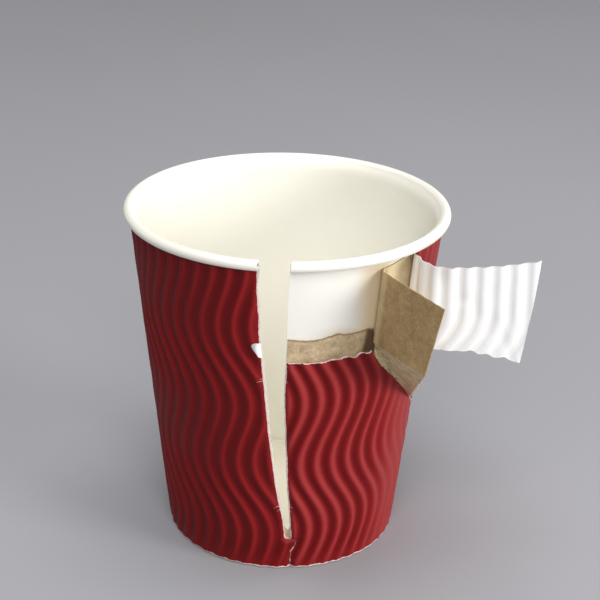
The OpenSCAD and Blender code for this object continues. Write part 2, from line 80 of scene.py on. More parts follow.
def jag(x, step, seed):
    """Uneven line between -1 and 1, with a new value at every step."""
    knots = np.random.RandomState(seed).uniform(-1, 1, 4096)
    k = np.asarray(x, float) / step + 1000
    i = np.floor(k).astype(int)
    t = k - i
    return knots[i % 4096] * (1 - t) + knots[(i + 1) % 4096] * t


def polar(r, az, z):
    r, az, z = np.broadcast_arrays(r, az, z)
    return np.stack([r * np.sin(az * DEG), -r * np.cos(az * DEG), z], -1)


def outward(az):
    az = np.asarray(az, float)
    return np.stack([np.sin(az * DEG), -np.cos(az * DEG), 0 * az], -1)


def bent(s, runs):
    """Way of a bent strip in plan after a length s of runs (length, turn)."""
    x, y, turn = 0 * s, 0 * s, 0 * s
    for length, angle in runs:
        part = np.clip(s, 0, length)
        rate = angle / length + 1e-7
        after = turn + rate * part
        r = 1 / (DEG * rate)
        x = x + r * (np.sin(after * DEG) - np.sin(turn * DEG))
        y = y + r * (np.cos(turn * DEG) - np.cos(after * DEG))
        turn = after
        s = s - part
    return x + s * np.cos(turn * DEG), y + s * np.sin(turn * DEG), turn


def peel(r, az0, z, s, runs):
    """Point and outward normal of paper that leaves the cone at az0 and runs on for s."""
    bx, by, turn = bent(s, runs)
    start = (180 + az0) * DEG
    head = (180 + az0 + turn) * DEG
    x = r * np.sin(az0 * DEG) + bx * np.cos(start) - by * np.sin(start)
    y = -r * np.cos(az0 * DEG) + bx * np.sin(start) + by * np.cos(start)
    n = np.stack([-np.sin(head), np.cos(head), 0 * head], -1)
    return np.stack([x, y, z], -1), n


# Mesh building
def index_grid(columns, rows, first=0):
    return first + np.arange(columns * rows).reshape(columns, rows)


def quads_of(grid):
    a, b, c, d = grid[:-1, :-1], grid[1:, :-1], grid[1:, 1:], grid[:-1, 1:]
    return np.stack([a, b, c, d], -1).reshape(-1, 4)


def paper(name, outer, inner, quads, slots, attributes=(), turned=None):
    """A closed sheet: outer and inner faces on the same corners, with strips round every free edge.
    From the quad numbered turned on, the inner side takes the fourth slot."""
    quads = [list(dict.fromkeys(q)) for q in np.asarray(quads).tolist()]
    plain = sum(len(q) > 2 for q in quads[:turned])
    quads = [q for q in quads if len(q) > 2]
    used = sorted({i for q in quads for i in q})
    renumber = {old: new for new, old in enumerate(used)}
    quads = [[renumber[i] for i in q] for q in quads]
    outer, inner = outer[used], inner[used]
    n = len(used)
    edges = {}
    for q in quads:
        for p, r in zip(q, q[1:] + q[:1]):
            edges[(p, r)] = True
    rim = [(p, r) for p, r in edges if (r, p) not in edges]
    faces = [list(q) for q in quads] + [[i + n for i in reversed(q)] for q in quads]
    faces += [[r, p, p + n, r + n] for p, r in rim]
    mesh = bpy.data.meshes.new(name)
    mesh.from_pydata((np.concatenate([outer, inner]) * MM).tolist(), [], faces)
    kinds = [0] * len(quads) + [1] * plain + [3] * (len(quads) - plain) + [2] * len(rim)
    mesh.polygons.foreach_set("material_index", kinds)
    mesh.polygons.foreach_set("use_smooth", [True] * len(faces))
    for label, values in attributes:
        layer = mesh.attributes.new(label, "FLOAT", "POINT")
        layer.data.foreach_set("value", np.tile(np.asarray(values, float)[used], 2))
    for material in slots:
        mesh.materials.append(material)
    b = bmesh.new()
    b.from_mesh(mesh)
    for e in b.edges:
        if len({f.material_index for f in e.link_faces}) > 1:
            e.smooth = False
    b.to_mesh(mesh)
    b.free()
    obj = bpy.data.objects.new(name, mesh)
    bpy.context.collection.objects.link(obj)
    return obj


# Materials
def linear(code):
    values = [int(code[i : i + 2], 16) / 255 for i in (1, 3, 5)]
    return [
        v / 12.92 if v < 0.04045 else ((v + 0.055) / 1.055) ** 2.4 for v in values
    ] + [1.0]


class Look:
    def __init__(self, name):
        self.material = bpy.data.materials.new(name)
        self.material.use_nodes = True
        self.tree = self.material.node_tree
        self.shader = self.tree.nodes["Principled BSDF"]
        self.place = self.tree.nodes.new("ShaderNodeTexCoord").outputs["Object"]

    def node(self, kind, **settings):
        n = self.tree.nodes.new(kind)
        for key, value in settings.items():
            setattr(n, key, value)
        return n

    def link(self, a, b):
        self.tree.links.new(a, b)

    def noise(self, scale, detail=3.0, rough=0.5, stretch=None):
        where = self.place
        if stretch:
            m = self.node("ShaderNodeMapping")
            m.inputs["Scale"].default_value = stretch
            self.link(where, m.inputs["Vector"])
            where = m.outputs["Vector"]
        n = self.node("ShaderNodeTexNoise")
        n.inputs["Scale"].default_value = scale
        n.inputs["Detail"].default_value = detail
        n.inputs["Roughness"].default_value = rough
        self.link(where, n.inputs["Vector"])
        return n.outputs["Fac"]

    def span(self, value, low, high, out_low=0.0, out_high=1.0):
        m = self.node("ShaderNodeMapRange")
        for k, v in enumerate((low, high, out_low, out_high), 1):
            m.inputs[k].default_value = v
        self.link(value, m.inputs[0])
        return m.outputs[0]

    def math(self, operation, a, b):
        m = self.node("ShaderNodeMath", operation=operation)
        for k, v in enumerate((a, b)):
            if isinstance(v, (int, float)):
                m.inputs[k].default_value = v
            else:
                self.link(v, m.inputs[k])
        return m.outputs[0]

    def blend(self, factor, a, b, mode="MIX"):
        m = self.node("ShaderNodeMix", data_type="RGBA", blend_type=mode)
        self.link(factor, m.inputs[0])
        for k, v in ((6, a), (7, b)):
            if isinstance(v, list):
                m.inputs[k].default_value = v
            else:
                self.link(v, m.inputs[k])
        return m.outputs[2]

    def attribute(self, label):
        return self.node("ShaderNodeAttribute", attribute_name=label).outputs["Fac"]

    def finish(self, colour, roughness, height=None, strength=0.3, distance=0.0001):
        self.link(colour, self.shader.inputs["Base Color"])
        if isinstance(roughness, float):
            self.shader.inputs["Roughness"].default_value = roughness
        else:
            self.link(roughness, self.shader.inputs["Roughness"])
        if height is not None:
            b = self.node("ShaderNodeBump")
            b.inputs["Strength"].default_value = strength
            b.inputs["Distance"].default_value = distance
            self.link(height, b.inputs["Height"])
            self.link(b.outputs["Normal"], self.shader.inputs["Normal"])
        return self.material


def cup_white(name, light, dark, gloss, painted_warm_shade=None):
    k = Look(name)
    broad = k.noise(22.0, 2.0)
    fine = k.noise(2600.0, 4.0, 0.6)
    colour = k.blend(k.span(broad, 0.35, 0.65), linear(light), linear(dark))
    # Painted shade and painted warm reflection, blended in by a point attribute
    if painted_warm_shade:
        colour = k.blend(k.span(k.attribute("painted_warm_shade"), 0.0, 1.0, 0.0, 0.6), colour, linear(painted_warm_shade))
    k.shader.inputs["Specular IOR Level"].default_value = 0.4
    rough = k.span(k.noise(300.0, 3.0), 0.3, 0.7, gloss - 0.05, gloss + 0.07)
    return k.finish(colour, rough, fine, 0.12, 0.00005)


def torn_white(name, light, dark):
    k = Look(name)
    fuzz = k.noise(1500.0, 5.0, 0.7)
    colour = k.blend(k.span(fuzz, 0.3, 0.7), linear(dark), linear(light))
    return k.finish(colour, 0.9, fuzz, 0.6, 0.0002)


def red_face():
    k = Look("red_ripple")
    broad = k.noise(35.0, 3.0)
    grain = k.noise(1700.0, 4.0, 0.65)
    red = k.blend(k.span(broad, 0.3, 0.7), linear("#861518"), linear("#7c1114"))
    red = k.blend(k.span(grain, 0.52, 0.75, 0.0, 0.3), red, linear("#992526"))
    # Painted shading of the ripples, from the point attribute made in ripple(): painted shade in the valleys
    # and on the left side, painted highlight on the lit flanks and a painted sheen on the right side
    red = k.blend(k.span(k.attribute("painted_ripple_shading"), -0.9, -0.05, 0.85, 0.0), red, linear("#580507"))
    red = k.blend(k.span(k.attribute("painted_ripple_shading"), -0.05, 0.8, 0.0, 0.8), red, linear("#a43838"))
    frayed = k.math("ADD", k.attribute("tear_mm"), k.span(k.noise(900.0, 4.0, 0.7), 0.25, 0.75, -0.3, 0.3))
    torn_band = k.span(frayed, 0.1, 0.28, 1.0, 0.0)
    colour = k.blend(torn_band, red, linear("#ecd6d2"))
    k.shader.inputs["Specular IOR Level"].default_value = 0.16
    rough = k.span(grain, 0.3, 0.7, 0.44, 0.58)
    return k.finish(colour, rough, grain, 0.22, 0.0001)


def ripple_back():
    k = Look("ripple_back")
    broad = k.noise(60.0, 3.0)
    grain = k.noise(1900.0, 5.0, 0.7)
    colour = k.blend(k.span(broad, 0.3, 0.7), linear("#f8f8f8"), linear("#f3f3f3"))
    # Painted shade: the white back of the peeled flap is greyer in its ripple valleys
    colour = k.blend(k.span(k.attribute("painted_valley_shade"), 0.0, 1.0, 0.0, 1.0), colour, linear("#e9e9ea"))
    return k.finish(colour, 0.75, grain, 0.25, 0.0001)


def kraft_face(name, light, dark, fleck):
    k = Look(name)
    cloud = k.noise(120.0, 4.0, 0.6)
    fibre = k.noise(900.0, 5.0, 0.7, (1.0, 1.0, 2.6))
    speck = k.noise(2300.0, 2.0, 0.5)
    base = k.blend(k.span(cloud, 0.3, 0.7), linear(light), linear(dark))
    base = k.blend(k.span(fibre, 0.5, 0.72, 0.0, 0.55), base, linear(fleck))
    base = k.blend(k.span(speck, 0.6, 0.76, 0.0, 0.6), base, linear("#5d4a33"))
    base = k.blend(k.span(k.noise(420.0, 4.0, 0.65), 0.38, 0.68, 0.0, 0.5), base, linear("#7a6140"))
    base = k.blend(k.span(k.noise(1500.0, 3.0, 0.6), 0.35, 0.65, 0.22, 0.0), base, linear("#6e5a3c"))
    # Painted highlight on the rounded bend at the left of the kraft flap (crease values 0 to 1)
    base = k.blend(k.span(k.attribute("crease"), 0.0, 1.0, 0.0, 0.45), base, linear("#e6d3a6"))
    # Painted light on the kraft left on the cup behind the flap (crease values 1 to 2)
    base = k.blend(k.span(k.attribute("crease"), 1.0, 2.0, 0.0, 0.9), base, linear("#f4e4c0"))
    # Painted shadow at the end of the kraft strip beside the flap (crease values below 0)
    base = k.blend(k.span(k.attribute("crease"), 0.0, -1.0, 0.0, 0.9), base, linear("#482a12"))
    # A darker brown band along the torn edge of the kraft
    frayed = k.math("ADD", k.attribute("tear_mm"), k.span(k.noise(1100.0, 4.0, 0.7), 0.25, 0.75, -0.3, 0.3))
    torn_band = k.span(frayed, 0.2, 0.5, 0.75, 0.0)
    colour = k.blend(torn_band, base, linear("#8d7048"))
    return k.finish(colour, 0.85, fibre, 0.35, 0.0001)


WHITE = cup_white("white_board", "#f8f6ec", "#f5f2e6", 0.42)
# The outside board's warm tone #cfa95c is a painted shade and painted reflection of the kraft beside the flap
WHITE_OUT = cup_white("white_outside", "#f8f6ee", "#f4f2e8", 0.42, "#cfa95c")
BASE = cup_white("base_board", "#dbd5c6", "#d6d0c0", 0.5)
WHITE_EDGE = torn_white("white_cut", "#f3f0e6", "#ddd8c8")
RED = red_face()
BACK = ripple_back()
RED_EDGE = torn_white("ripple_torn", "#f2dfdb", "#cfa9a4")
KRAFT = kraft_face("kraft_outside", "#e4cca8", "#cbb28b", "#eedfc2")
KRAFT_IN = kraft_face("kraft_inside", "#b99b6e", "#9d8153", "#c9ae84")
# Painted light: the pulled fold's kraft is made paler to stand in for light that its downward-facing surface
# does not get
KRAFT_FOLD_PAINTED_LIGHT = kraft_face("kraft_fold_painted_light", "#fdeebf", "#ecdcaa", "#fff8dc")
KRAFT_EDGE = torn_white("kraft_torn", "#b79f7a", "#8f7650")


# Cut through the papers: heights and directions of its two edges
CUT_Z_LEFT = [0, 3.2, 5.6, 7.3, 9.4, 9.8, 11, 15, 19.4, 29.3, 40.8, 52, 61, 73.6, 79, 87, 96]
CUT_LEFT = [4.95, 4.8, 5.1, 6.85, 7.65, 2.3, 2.1, 1.4, 0, -2.9, -5.1, -6.7, -7.8, -9.2, -9.2, -10, -9.4]
CUT_Z_RIGHT = [0, 3.2, 5.6, 7.3, 9.4, 9.8, 15, 19.4, 29, 39, 46, 56, 65, 73, 84, 96]
CUT_RIGHT = [5.15, 5.0, 5.3, 7.05, 7.85, 5.1, 4.3, 3.6, 2.3, 1.5, 0.9, 0.3, 0.7, 1.0, 1.1, 1.8]


def cut_left(z, wild=0.0, back=0.0):
    raw = (wild * jag(z, 0.8, 11) - back) * level((np.asarray(z) - 9) / 3)
    return np.interp(z, CUT_Z_LEFT, CUT_LEFT) + raw


def cut_right(z, wild=0.0, back=0.0):
    raw = (wild * jag(z, 0.8, 12) + back) * level((np.asarray(z) - 9) / 3)
    return np.interp(z, CUT_Z_RIGHT, CUT_RIGHT) + raw


# Ripples
# Each side of the cut: tilt, share of the pitch, phase of the wave, phase of the crests, end of the wave
CREST_PHASE = 305.0
RIGHT_WAVE = (3.1, 1.0, 334.9, 271.9, 78.5)
LEFT_WAVE = (8.3, 1.038, 330.4, 292.0, 200.0)


def half_wave(az, z, wave):
    """Count of half ripples from the first crest, on the sheet laid flat."""
    turn = az * math.sin(HALF) * DEG
    run = APEX + z / math.cos(HALF)
    across, up = run * np.sin(turn), run * np.cos(turn) - APEX
    c, s = math.cos(wave[0] * DEG), math.sin(wave[0] * DEG)
    u, v = across * c + up * s, up * c - across * s
    turn = (360 * np.minimum(v, wave[4]) / WAVE_LEN + wave[2]) * DEG
    straight = np.maximum(0, v - wave[4]) * 2 * math.pi / WAVE_LEN
    swing = WAVE_SWING * (np.sin(turn) + np.cos(turn) * straight)
    return (360 * (u - swing) / (RIPPLE_PITCH * wave[1]) + wave[3] - CREST_PHASE) / 180


def crest_az(target, z, wave, guess):
    """Direction in which a given count of half ripples stands at height z."""
    az = np.zeros_like(z + target) + guess
    step = 180 * RIPPLE_PITCH * wave[1] / (2 * math.pi * (CREST_FOOT + TAPER * z))
    for _ in range(9):
        az = az + (target - half_wave(az, z, wave)) * step
    return az


LAP_TURN = SEAM_LAP / (WRAP_MID + TAPER * CUP_H / 2) / DEG
LAP_END = SEAM_AZ + LAP_TURN - 360
tries = np.arange(0.0, 97.0, 4.0)
right_h = np.arange(
    math.floor(half_wave(cut_right(tries), tries, RIGHT_WAVE).min()),
    math.ceil(half_wave(SEAM_AZ + 0 * tries, tries, RIGHT_WAVE).max()) + 0.1,
    0.2,
)
left_h = np.arange(
    math.floor(half_wave(LAP_END + 0 * tries, tries, LEFT_WAVE).min()),
    math.ceil(half_wave(cut_left(tries), tries, LEFT_WAVE).max()) + 0.1,
    0.2,
)
lap_steps = np.array([0.0, 0.25, LAP_TURN / 3, LAP_TURN * 2 / 3, LAP_TURN - 0.25, LAP_TURN])
N_RIGHT, N_LAP, N_LEFT = len(right_h) + 1, len(lap_steps), len(left_h) + 1
N_COLUMNS = N_RIGHT + N_LAP + N_LEFT
TIGHT = 0.02
PRESSED_RUN, PRESSED_AIR = 1.3, 0.06


def wrap_az(z):
    """Direction of every column of the wrap, for one height a column."""
    zr, zl = z[1:N_RIGHT], z[N_RIGHT + N_LAP : -1]
    k = np.arange(len(right_h)) + 1
    right = crest_az(right_h, zr, RIGHT_WAVE, SEAM_AZ / 2)
    right = np.clip(
        right,
        cut_right(zr, 0.1, 0.1) + TIGHT * k,
        SEAM_AZ - TIGHT * (len(right_h) + 1 - k),
    )
    k = np.arange(len(left_h)) + 1
    left = crest_az(left_h, zl, LEFT_WAVE, LAP_END / 2)
    left = np.clip(left, LAP_END + TIGHT * k, cut_left(zl, 0.12, 0.2) - TIGHT * (len(left_h) + 1 - k))
    return np.concatenate(
        [
            [cut_right(z[0], 0.1, 0.1)],
            right,
            SEAM_AZ + lap_steps,
            left + 360,
            [cut_left(z[-1], 0.12, 0.2) + 360],
        ]
    )


column = np.arange(N_COLUMNS)
on_right = column < N_RIGHT
on_lap = (column >= N_RIGHT) & (column < N_RIGHT + N_LAP)
on_left = column >= N_RIGHT + N_LAP


def ripple(az, z, gone):
    """Radial swing of the ripples, pressed flat along the cut and flattened below the tear, and the painted
    shading of the red face: painted shade in the valleys and on the left side, a painted highlight on each
    ripple's right flank and a painted sheen on the right side.
    """
    r = WRAP_MID + TAPER * z
    phase = math.pi * np.where(on_right, half_wave(az, z, RIGHT_WAVE), half_wave(az - 360, z, LEFT_WAVE))
    wave = np.cos(phase)
    below = level((np.where(on_right, wrap_tear(np.clip(az, 0, TIP_AZ)), 99) - z) / 11)
    flat = level((az - 37) / 8) * level((95 - az) / 15) * (below > 0) * (1 - below)
    wave = wave * (1 - 0.8 * flat * on_right * ~gone)
    side = ease((az - 38) / 24) * ease((112 - az) / 24) * on_right * ~gone
    wave = wave * (1 - 0.65 * side)
    from_lap = np.where(on_right, SEAM_AZ - az, az - 360 - LAP_END) * r * DEG
    foot = mix(0.4, 1.0, ease((z - WRAP_LIFT) / 6))
    wave = SWING * np.where(on_lap, 0.0, wave * level(from_lap / 4) * foot) * (1 - 0.15 * gone)
    from_cut = np.where(on_right, az - cut_right(z), 360 + cut_left(z) - az) * r * DEG
    pressed = ease(1 - from_cut / PRESSED_RUN) * ~gone
    near_cut = ease((az - 360 + 42) / 36)
    # Painted sheen: the right side, which faces the side lamps, is painted lighter and loses its painted
    # valley shade
    pulled = 0.95 * ease((az - 34) / 32) * ease((118 - az) / 26) * on_right * ~gone
    # Painted highlight on the right flank of each ripple, where the side lamps fall; on the left side, away
    # from the lamps, the highlight is thinner and the rest darker, as painted shade
    line = np.cos(phase - 0.9)
    thin = np.maximum(line, 0) ** 2.5 * (0.5 + 0.25 * near_cut) - 0.66 + 0.06 * near_cut
    line = mix(0.75 * line, thin, on_left * ease((az - 360 + 135) / 35))
    painted_ripple_shading = mix(mix(line * foot, -0.1, pressed), 0.8, pulled)
    return mix(wave, -SWING - WRAP_GAP + PRESSED_AIR, pressed), painted_ripple_shading


def wrap_tear(az):
    """Height of the wrap's torn edge."""
    rough = 0.15 * (np.sin(61 * az * DEG) + np.sin(23 * az * DEG))
    fine = 0.13 * jag(az, 0.9, 3) + 0.12 * jag(az, 2.3, 4)
    way = level((az - TEAR_TURN) / (TIP_AZ - TEAR_TURN))
    flat = TEAR_H + 1.2 * az / TEAR_TURN
    fall = mix(TEAR_H + 1.2, TIP_H, way) - 1.9 * np.sin(math.pi * np.sqrt(way))
    return np.where(az < TEAR_TURN, flat, fall) + (rough + fine) * (1 - way) ** 1.5


def mid_row(az):
    """Height at which the wrap's lower rows meet its upper ones."""
    back = mix(TIP_H, 50.0, level((az - TIP_AZ) / (SEAM_AZ - TIP_AZ)))
    return np.where(az < TIP_AZ, wrap_tear(np.minimum(az, TIP_AZ)), back)


def hinge_at(z):
    """Direction at which the peeled flap leaves the cup."""
    return mix(53.5, TIP_AZ, level((TEAR_H - z) / (TEAR_H - TIP_H)))


def wrap_surface(az, z, peeled):
    """Mid-surface points and outward directions of the wrap."""
    r = WRAP_MID + TAPER * z
    flat, normal = polar(r, az, z), outward(az)
    if not peeled:
        return flat, normal, np.zeros(len(az), bool)
    hinge = hinge_at(z)
    t = level((WRAP_TOP - z) / (WRAP_TOP - TEAR_H))
    s = np.maximum(0.0, r * (hinge - az) * DEG)
    runs = [
        (3.1, 63.5),
        (mix(4.1, 2.5, t), 0.0),
        (7.9, mix(70.0, 62.5, t)),
    ]
    free = np.maximum(0, (s / 38 - 0.55) / 0.45)
    drop = mix(0.85, -1.05, t) * (1 - np.exp(-s / 4)) + mix(-1.35, 3.4, t) * free**2
    away, turned = peel(r, hinge, z - drop, s, runs)
    gone = on_right & (az < hinge)
    return np.where(gone[:, None], away, flat), np.where(gone[:, None], turned, normal), gone


def build_wrap():
    z_mid = np.full(N_COLUMNS, 60.0)
    for _ in range(12):
        z_mid = mid_row(wrap_az(z_mid))
    tip = int(np.argmax(wrap_az(z_mid) >= TIP_AZ - 0.01))
    foot = [WRAP_LIFT, 1.2, 2.2, 3.2, 4.4, 5.6, 6.6, 7.4, 8.4, 9.4, 9.8, 10.4, 11.4, 12.5]
    close = np.array([1.1, 0.75, 0.45, 0.2, 0.0])
    rows_low = [np.full(N_COLUMNS, z) for z in foot]
    rows_low += [mix(foot[-1], z_mid - 1.6, k / 22) for k in range(1, 23)]
    rows_low += [z_mid - d for d in close]
    rows_high = [z_mid + d for d in close[::-1]]
    rows_high += [mix(z_mid + 1.6, WRAP_TOP, k / 19) for k in range(20)]
    outer, inner, tear, painted_shading_rows, painted_valley_shade_rows = [], [], [], [], []

    def add(rows, peeled):
        grid_o, grid_i, grid_t, grid_w, grid_v = [], [], [], [], []
        for z in rows:
            az = wrap_az(z)
            mid, n, gone = wrap_surface(az, z, peeled)
            d, painted_ripple_shading = ripple(az, z, gone)
            crumple = 0.0
            if peeled:
                s = np.maximum(0, hinge_at(z) - az) * on_right
                crumple = 0.10 * ease(s / 12) * (jag(az + 0.4 * z, 3.1, 21) + jag(z - 0.7 * az, 4.3, 22))
                corner = ease((s - 30) / 14) * ease((84 - z) / 12)
                crumple += 0.16 * corner * (jag(az + 1.1 * z, 2.6, 23) + jag(1.2 * az - z, 3.4, 24))
                u, v = s - 27 + 0.8 * (z - 82.4), z - 82.4 - 0.3 * (s - 27)
                crumple += 0.3 * np.exp(-((u / 3.2) ** 2) - (v / 0.9) ** 2) * on_right
            lap = np.where((column > N_RIGHT) & (column < N_RIGHT + N_LAP - 1), RIPPLE_T, 0.0)
            grid_o.append(mid + n * (d + crumple + RIPPLE_T / 2 + lap)[:, None])
            grid_i.append(mid + n * (d + crumple - RIPPLE_T / 2)[:, None])
            near = np.where(column < tip, np.abs(z - z_mid), 9.0)
            r = (WRAP_MID + TAPER * z) * DEG
            cut = np.minimum((az - cut_right(z)) * r, (360 + cut_left(z) - az) * r)
            cut = cut + np.where(z < 9.9, 0.16, 0.2)
            grid_t.append(np.minimum(np.minimum(near, cut), z - WRAP_LIFT - 0.1))
            grid_w.append(painted_ripple_shading)
            # Painted shade for the valleys of the peeled flap's white back
            phase = math.pi * half_wave(az, z, RIGHT_WAVE)
            grid_v.append(ease((0.32 - np.cos(phase)) / 0.4) * gone)
        outer.append(np.stack(grid_o, 1).reshape(-1, 3))
        inner.append(np.stack(grid_i, 1).reshape(-1, 3))
        tear.append(np.stack(grid_t, 1).reshape(-1))
        painted_shading_rows.append(np.stack(grid_w, 1).reshape(-1))
        painted_valley_shade_rows.append(np.stack(grid_v, 1).reshape(-1))

    add(rows_low, False)
    add(rows_high, True)
    low = index_grid(N_COLUMNS, len(rows_low))
    high = index_grid(N_COLUMNS, len(rows_high), low.size)
    high[tip:, 0] = low[tip:, -1]
    quads = np.concatenate([quads_of(low), quads_of(high)])
    obj = paper(
        "ripple_paper",
        np.concatenate(outer),
        np.concatenate(inner),
        quads,
        (RED, BACK, RED_EDGE),
        [
            ("tear_mm", np.concatenate(tear)),
            ("painted_ripple_shading", np.concatenate(painted_shading_rows)),
            ("painted_valley_shade", np.concatenate(painted_valley_shade_rows)),
        ],
    )
    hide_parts("ripple_wrap")
    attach(obj, "root")


# Torn scrap and loose fibres
SCRAP_H, SCRAP_LONG, SCRAP_TALL = 70.0, 2.5, 4.4


def build_scrap():
    """A torn flake of the wrap's white side that curls back over the left edge of the cut."""
    u, v = np.meshgrid(np.linspace(0, 1, 15), np.linspace(-1, 1, 13), indexing="ij")
    z = SCRAP_H + 0.9 * u + v * SCRAP_TALL / 2 * (1.0 - 0.5 * u**2) + 0.1 * jag(u, 0.25, 41) * v
    r = WRAP_MID + TAPER * z + 0.35 + 0.9 * np.sin(math.pi * u) + 0.25 * v * u
    run = SCRAP_LONG * u * (1 + 0.04 * jag(v, 0.3, 42) - 0.35 * v**2)
    az = cut_left(z) + 0.3 - run / (r * DEG)
    slope = 0.9 * math.pi * np.cos(math.pi * u) / SCRAP_LONG
    n = outward(az) + slope[..., None] * outward(az + 90)
    n = n / np.linalg.norm(n, axis=-1, keepdims=True)
    mid = polar(r, az, z)
    obj = paper(
        "torn_scrap",
        (mid + 0.1 * n).reshape(-1, 3),
        (mid - 0.1 * n).reshape(-1, 3),
        quads_of(index_grid(*u.shape))[:, ::-1],
        (BACK, BACK, RED_EDGE),
    )
    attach(obj, "root")


# Loose fibres at the cut: height, side of the cut, length, lift of the free end, bend
FIBRES = [
    (61.0, -1, 1.3, 0.3, 0.4), (60.6, -1, 2.0, -0.2, 0.3), (60.8, 1, 1.0, 0.1, 0.2),
    (20.6, -1, 2.1, 0.1, 0.7), (20.2, -1, 1.3, -0.4, 0.3), (20.6, 1, 1.3, 0.3, 0.5),
    (20.0, 1, 0.9, -0.2, 0.2), (64.0, 1, 0.7, 0.3, 0.2), (83.0, -1, 0.7, 0.4, 0.2),
    (87.5, -1, 0.5, -0.2, 0.1), (50.5, -1, 0.6, 0.3, 0.1), (33.0, 1, 0.5, -0.2, 0.1),
]


def build_fibres():
    points, faces = [], []
    for height, side, long, lift, bend in FIBRES:
        for k in range(7):
            t = k / 6
            z = height + lift * t + bend * math.sin(math.pi * t)
            edge = cut_left(height) if side < 0 else cut_right(height)
            r = float(CREST_FOOT + TAPER * height) - 0.5 + 0.75 * math.sqrt(t)
            az = float(edge) + side * (t * long - 0.3) / (r * DEG)
            wide = 0.07 * (1 - 0.7 * t)
            for dr, dz in ((wide, 0), (0, wide), (-wide, 0), (0, -wide)):
                points.append(polar(r + dr, az, z + dz) * MM)
        first = len(points) - 28
        for k in range(6):
            for i in range(4):
                a, b = first + 4 * k + i, first + 4 * k + (i + 1) % 4
                faces.append((a, b, b + 4, a + 4))
        faces += [tuple(first + i for i in (3, 2, 1, 0)), tuple(first + 24 + i for i in range(4))]
    mesh = bpy.data.meshes.new("torn_fibres")
    mesh.from_pydata([tuple(p) for p in points], [], faces)
    mesh.materials.append(RED_EDGE)
    b = bmesh.new()
    b.from_mesh(mesh)
    bmesh.ops.recalc_face_normals(b, faces=b.faces)
    b.to_mesh(mesh)
    b.free()
    obj = bpy.data.objects.new("torn_fibres", mesh)
    bpy.context.collection.objects.link(obj)
    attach(obj, "root")


def build_fringe():
    """Ragged fibres of the torn paper along both edges of the cut in the wrap."""
    for name, side, top in (("fringe_left", -1, WRAP_TOP), ("fringe_right", 1, TEAR_H - 0.3)):
        z = np.arange(10.2, top, 0.3)
        edge = cut_left(z, 0.12, 0.2) if side < 0 else cut_right(z, 0.1, 0.1)
        r = WRAP_MID + TAPER * z - SWING - WRAP_GAP + PRESSED_AIR + RIPPLE_T / 2 + 0.05
        wide = 0.02 + 0.3 * level(0.15 + jag(z, 0.55, 51 + side) * 0.5 + jag(z, 2.4, 61 + side) * 0.5)
        mids = []
        for across, lift in ((0.28, 0.0), (0.0, 0.05), (-1.0, -0.12)):
            run = across if across >= 0 else -wide
            mids.append(polar(r + lift + 0.06 * jag(z, 0.7, 71 + side), edge + side * run / (r * DEG), z))
        mid, n = np.stack(mids, 0), np.stack([outward(edge)] * 3, 0)
        quads = quads_of(index_grid(3, len(z)))
        obj = paper(
            name,
            (mid + 0.04 * n).reshape(-1, 3),
            (mid - 0.04 * n).reshape(-1, 3),
            quads[:, ::-1] if side > 0 else quads,
            (RED_EDGE, RED_EDGE, RED_EDGE),
        )
        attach(obj, "root")


# Kraft layer
def kraft_edge_right(z):
    return mix(SLIT_AZ, cut_right(z, 0.1, 0.25), level((z - KRAFT_CUT_END) / 1.5))


def kraft_edge_left(z):
    return mix(SLIT_AZ, cut_left(z, 0.12, 0.3), level((z - KRAFT_CUT_END) / 1.5))


K_FLAP, K_BACK, K_SLIT = 60, 170, 10
share = np.linspace(0, 1, K_FLAP + 1)
share = 1 - (1 - share) * (0.35 + 0.65 * (1 - share))


def kraft_az(z):
    """Direction of every column of the kraft layer at height z."""
    right = mix(kraft_edge_right(z), FLAP_AZ, share)
    back = np.linspace(FLAP_AZ, 342, K_BACK + 1)[1:]
    left = mix(342, 360 + kraft_edge_left(z), np.linspace(0, 1, K_SLIT + 1)[1:])
    return np.concatenate([right, back, left])


def kraft_tear(az):
    """Height of the torn strip's edge in the window."""
    x = np.array([0, 1.3, 5.8, 9.9, 14.1, 18.4, 20.7, 23.3, 27.5, 31, 33.5, 36, 37.4, 38.5])
    h = np.array([73, 72.9, 72.5, 72.3, 72.6, 73.4, 73.8, 73.2, 73.1, 73.4, 73.6, 73.2, 70.0, KRAFT_TEAR_END])
    base = np.interp(az, x, h)
    return base + 0.12 * jag(az, 0.8, 5) * level((38.5 - az) / 2)


def flap_surface(az, z):
    """Mid-surface points and outward directions of the folded kraft flap."""
    r = KRAFT_MID + TAPER * z
    t = level((KRAFT_TOP - z) / (KRAFT_TOP - 69.6))
    s = np.maximum(0, r * (FLAP_AZ - az) * DEG)
    return peel(r, FLAP_AZ + 0 * az, z - 2.0 * s / 25, s, [(2.8, mix(88.5, 82.5, t))])


# Pulled fold: direction of its tip, air to the cup, lift over the tear, tuck behind it, share to the crease
FOLD_END, FOLD_GAP, FOLD_LIFT, FOLD_TUCK, CREASE = 74.0, 0.4, 0.1, 0.6, 0.9


def fold_foot(t, above_tear):
    az = mix(FOLD_END, FLAP_AZ, t)
    z = mix(wrap_tear(az) + above_tear, KRAFT_TEAR_END, t**14)
    return polar(KRAFT_MID + TAPER * z + (KRAFT_T + FOLD_GAP) * (1 - t**8), az, z)


def fold_surface(flap_az, flap_z, g, t):
    """The pulled fold: from the flap's torn edge (g 0) to a crease on the cup,
    then in behind the wrap (g 1)."""
    top, _ = flap_surface(flap_az, flap_z)
    crease = fold_foot(t, FOLD_LIFT)
    down = level(g / CREASE)[..., None]
    tuck = level((g - CREASE) / (1 - CREASE))[..., None]
    return mix(mix(top, crease, down), fold_foot(t, -FOLD_TUCK), tuck)


